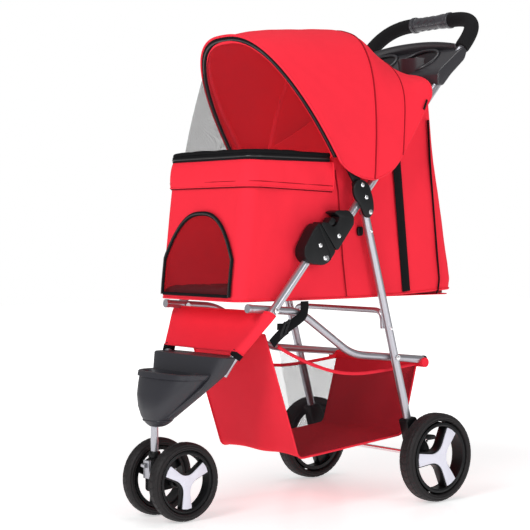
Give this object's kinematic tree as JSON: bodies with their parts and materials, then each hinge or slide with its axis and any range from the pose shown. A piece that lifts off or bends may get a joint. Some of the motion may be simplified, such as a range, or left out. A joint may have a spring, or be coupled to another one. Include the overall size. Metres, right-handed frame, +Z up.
{
  "type": "pet stroller",
  "caption": "Folding tube-framed pet stroller with a fabric cabin, arched canopy with mesh window, storage basket, cup tray and swivelling front wheels.",
  "frame": {"origin": "on the floor, at the middle of the overall length and width", "axes": "+Z up, front towards -Y, left side towards +X"},
  "size_m": [0.404, 0.7628, 0.9772],
  "materials": {
    "silver_tube": "satin silver paint",
    "steel": "polished steel",
    "black_plastic": "fine moulded grain",
    "gloss_black": "glossy moulded plastic",
    "grey_plastic": "fine moulded grain",
    "pale_plastic": "pale lavender grey",
    "tyre_foam": "moulded foam tyre",
    "foam": "closed cell foam",
    "red_cloth": "plain woven polyester",
    "dark_red_cloth": "quilted polyester",
    "black_mesh": "fine knitted mesh",
    "webbing": "woven webbing"
  },
  "bodies": {
    "front_frame": {"front_tube_l": "silver_tube", "front_tube_r": "silver_tube", "latch_base_l": "black_plastic", "latch_base_r": "black_plastic", "pin_a_l": "steel", "pin_a_r": "steel", "pin_b_l": "steel", "pin_b_r": "steel", "caster_housing": "grey_plastic", "front_panel": "red_cloth"},
    "caster": {"caster_stem": "silver_tube", "caster_fork": "black_plastic", "front_axle": "steel"},
    "swivel_lock": {"swivel_lock": "steel"},
    "front_wheel_l": {"front_tyre_l": "tyre_foam", "front_rim_l": "black_plastic", "front_spider_l": "pale_plastic"},
    "front_wheel_r": {"front_tyre_r": "tyre_foam", "front_rim_r": "black_plastic", "front_spider_r": "pale_plastic"},
    "handle_frame": {"handle_tube": "silver_tube", "latch_top_l": "black_plastic", "latch_top_r": "black_plastic", "link_plate_l": "black_plastic", "link_plate_r": "black_plastic", "pin_c_l": "steel", "pin_c_r": "steel", "handle_grip": "grey_plastic", "handle_foam_l": "foam", "handle_foam_r": "foam", "cup_tray": "gloss_black", "canopy": "red_cloth", "cabin": "red_cloth", "cabin_mat": "dark_red_cloth"},
    "latch_lever_l": {"latch_lever_l": "black_plastic"},
    "latch_lever_r": {"latch_lever_r": "black_plastic"},
    "canopy_front": {"front_hoop": "silver_tube", "mesh_window": "black_mesh"},
    "canopy_middle": {"middle_hoop": "silver_tube"},
    "front_door": {"front_door": "black_mesh"},
    "rear_legs": {"rear_leg_l": "silver_tube", "rear_leg_r": "silver_tube", "pin_d_l": "steel", "pin_d_r": "steel", "leg_cross_tube": "silver_tube", "rear_axle": "steel", "axle_bracket_l": "black_plastic", "axle_bracket_r": "black_plastic"},
    "brake_l": {"brake_pedal_l": "black_plastic"},
    "brake_r": {"brake_pedal_r": "black_plastic"},
    "rear_wheel_l": {"rear_tyre_l": "tyre_foam", "rear_rim_l": "black_plastic", "rear_spider_l": "pale_plastic"},
    "rear_wheel_r": {"rear_tyre_r": "tyre_foam", "rear_rim_r": "black_plastic", "rear_spider_r": "pale_plastic"},
    "side_tubes": {"side_tube_l": "silver_tube", "side_tube_r": "silver_tube", "basket": "red_cloth", "fold_strap": "webbing"}
  },
  "joints": [
    {"name": "fold", "type": "hinge", "parent": "front_frame", "child": "handle_frame", "pos_m": [0, -0.068, 0.475], "axis": [-1, 0, 0], "range_deg": [0, 135], "deforming": ["cabin", "cabin_mat", "canopy", "basket", "fold_strap"]},
    {"name": "leg_fold", "type": "hinge", "parent": "handle_frame", "child": "rear_legs", "pos_m": [0, 0.041, 0.561], "axis": [1, 0, 0], "range_deg": [0, 101]},
    {"name": "side_fold", "type": "hinge", "parent": "front_frame", "child": "side_tubes", "pos_m": [0, -0.183, 0.381], "axis": [-1, 0, 0], "range_deg": [0, 71.5]},
    {"name": "canopy_fold", "type": "hinge", "parent": "handle_frame", "child": "canopy_front", "pos_m": [0, 0.021, 0.612], "axis": [-1, 0, 0], "range_deg": [0, 55], "deforming": ["mesh_window"]},
    {"name": "canopy_middle_fold", "type": "hinge", "parent": "handle_frame", "child": "canopy_middle", "pos_m": [0, 0.021, 0.612], "axis": [-1, 0, 0], "range_deg": [0, 27.7]},
    {"name": "door_swing", "type": "hinge", "parent": "handle_frame", "child": "front_door", "pos_m": [0, -0.253, 0.406], "axis": [1, 0, 0], "range_deg": [0, 110], "deforming": ["front_door"]},
    {"name": "caster_swivel", "type": "hinge", "parent": "front_frame", "child": "caster", "pos_m": [0, -0.3444, 0.1], "axis": [0, 0, 1], "continuous": true},
    {"name": "swivel_lock_slide", "type": "slide", "parent": "caster", "child": "swivel_lock", "axis": [0, 0, -1], "range_m": [0, 0.008]},
    {"name": "front_wheel_l_spin", "type": "hinge", "parent": "caster", "child": "front_wheel_l", "pos_m": [0.042, -0.3094, 0.072], "axis": [1, 0, 0], "continuous": true},
    {"name": "front_wheel_r_spin", "type": "hinge", "parent": "caster", "child": "front_wheel_r", "pos_m": [-0.042, -0.3094, 0.072], "axis": [1, 0, 0], "continuous": true},
    {"name": "rear_wheel_l_spin", "type": "hinge", "parent": "rear_legs", "child": "rear_wheel_l", "pos_m": [0.184, 0.192, 0.086], "axis": [1, 0, 0], "continuous": true},
    {"name": "rear_wheel_r_spin", "type": "hinge", "parent": "rear_legs", "child": "rear_wheel_r", "pos_m": [-0.184, 0.192, 0.086], "axis": [1, 0, 0], "continuous": true},
    {"name": "brake_l_press", "type": "hinge", "parent": "rear_legs", "child": "brake_l", "pos_m": [0.128, 0.196, 0.114], "axis": [-1, 0, 0], "range_deg": [0, 14]},
    {"name": "brake_r_press", "type": "hinge", "parent": "rear_legs", "child": "brake_r", "pos_m": [-0.128, 0.196, 0.114], "axis": [-1, 0, 0], "range_deg": [0, 14]},
    {"name": "latch_lever_l_pull", "type": "hinge", "parent": "handle_frame", "child": "latch_lever_l", "pos_m": [0.143, -0.04568, 0.53012], "axis": [-1, 0, 0], "range_deg": [0, 12], "stiffness_Nm_per_rad": 0.5},
    {"name": "latch_lever_r_pull", "type": "hinge", "parent": "handle_frame", "child": "latch_lever_r", "pos_m": [-0.143, -0.04568, 0.53012], "axis": [-1, 0, 0], "range_deg": [0, 12], "stiffness_Nm_per_rad": 0.5}
  ],
  "couplings": [
    {"joint": "leg_fold", "follows": "fold", "ratio": 0.7433},
    {"joint": "side_fold", "follows": "fold", "ratio": 0.525},
    {"joint": "canopy_middle_fold", "follows": "canopy_fold", "ratio": 0.5}
  ]
}
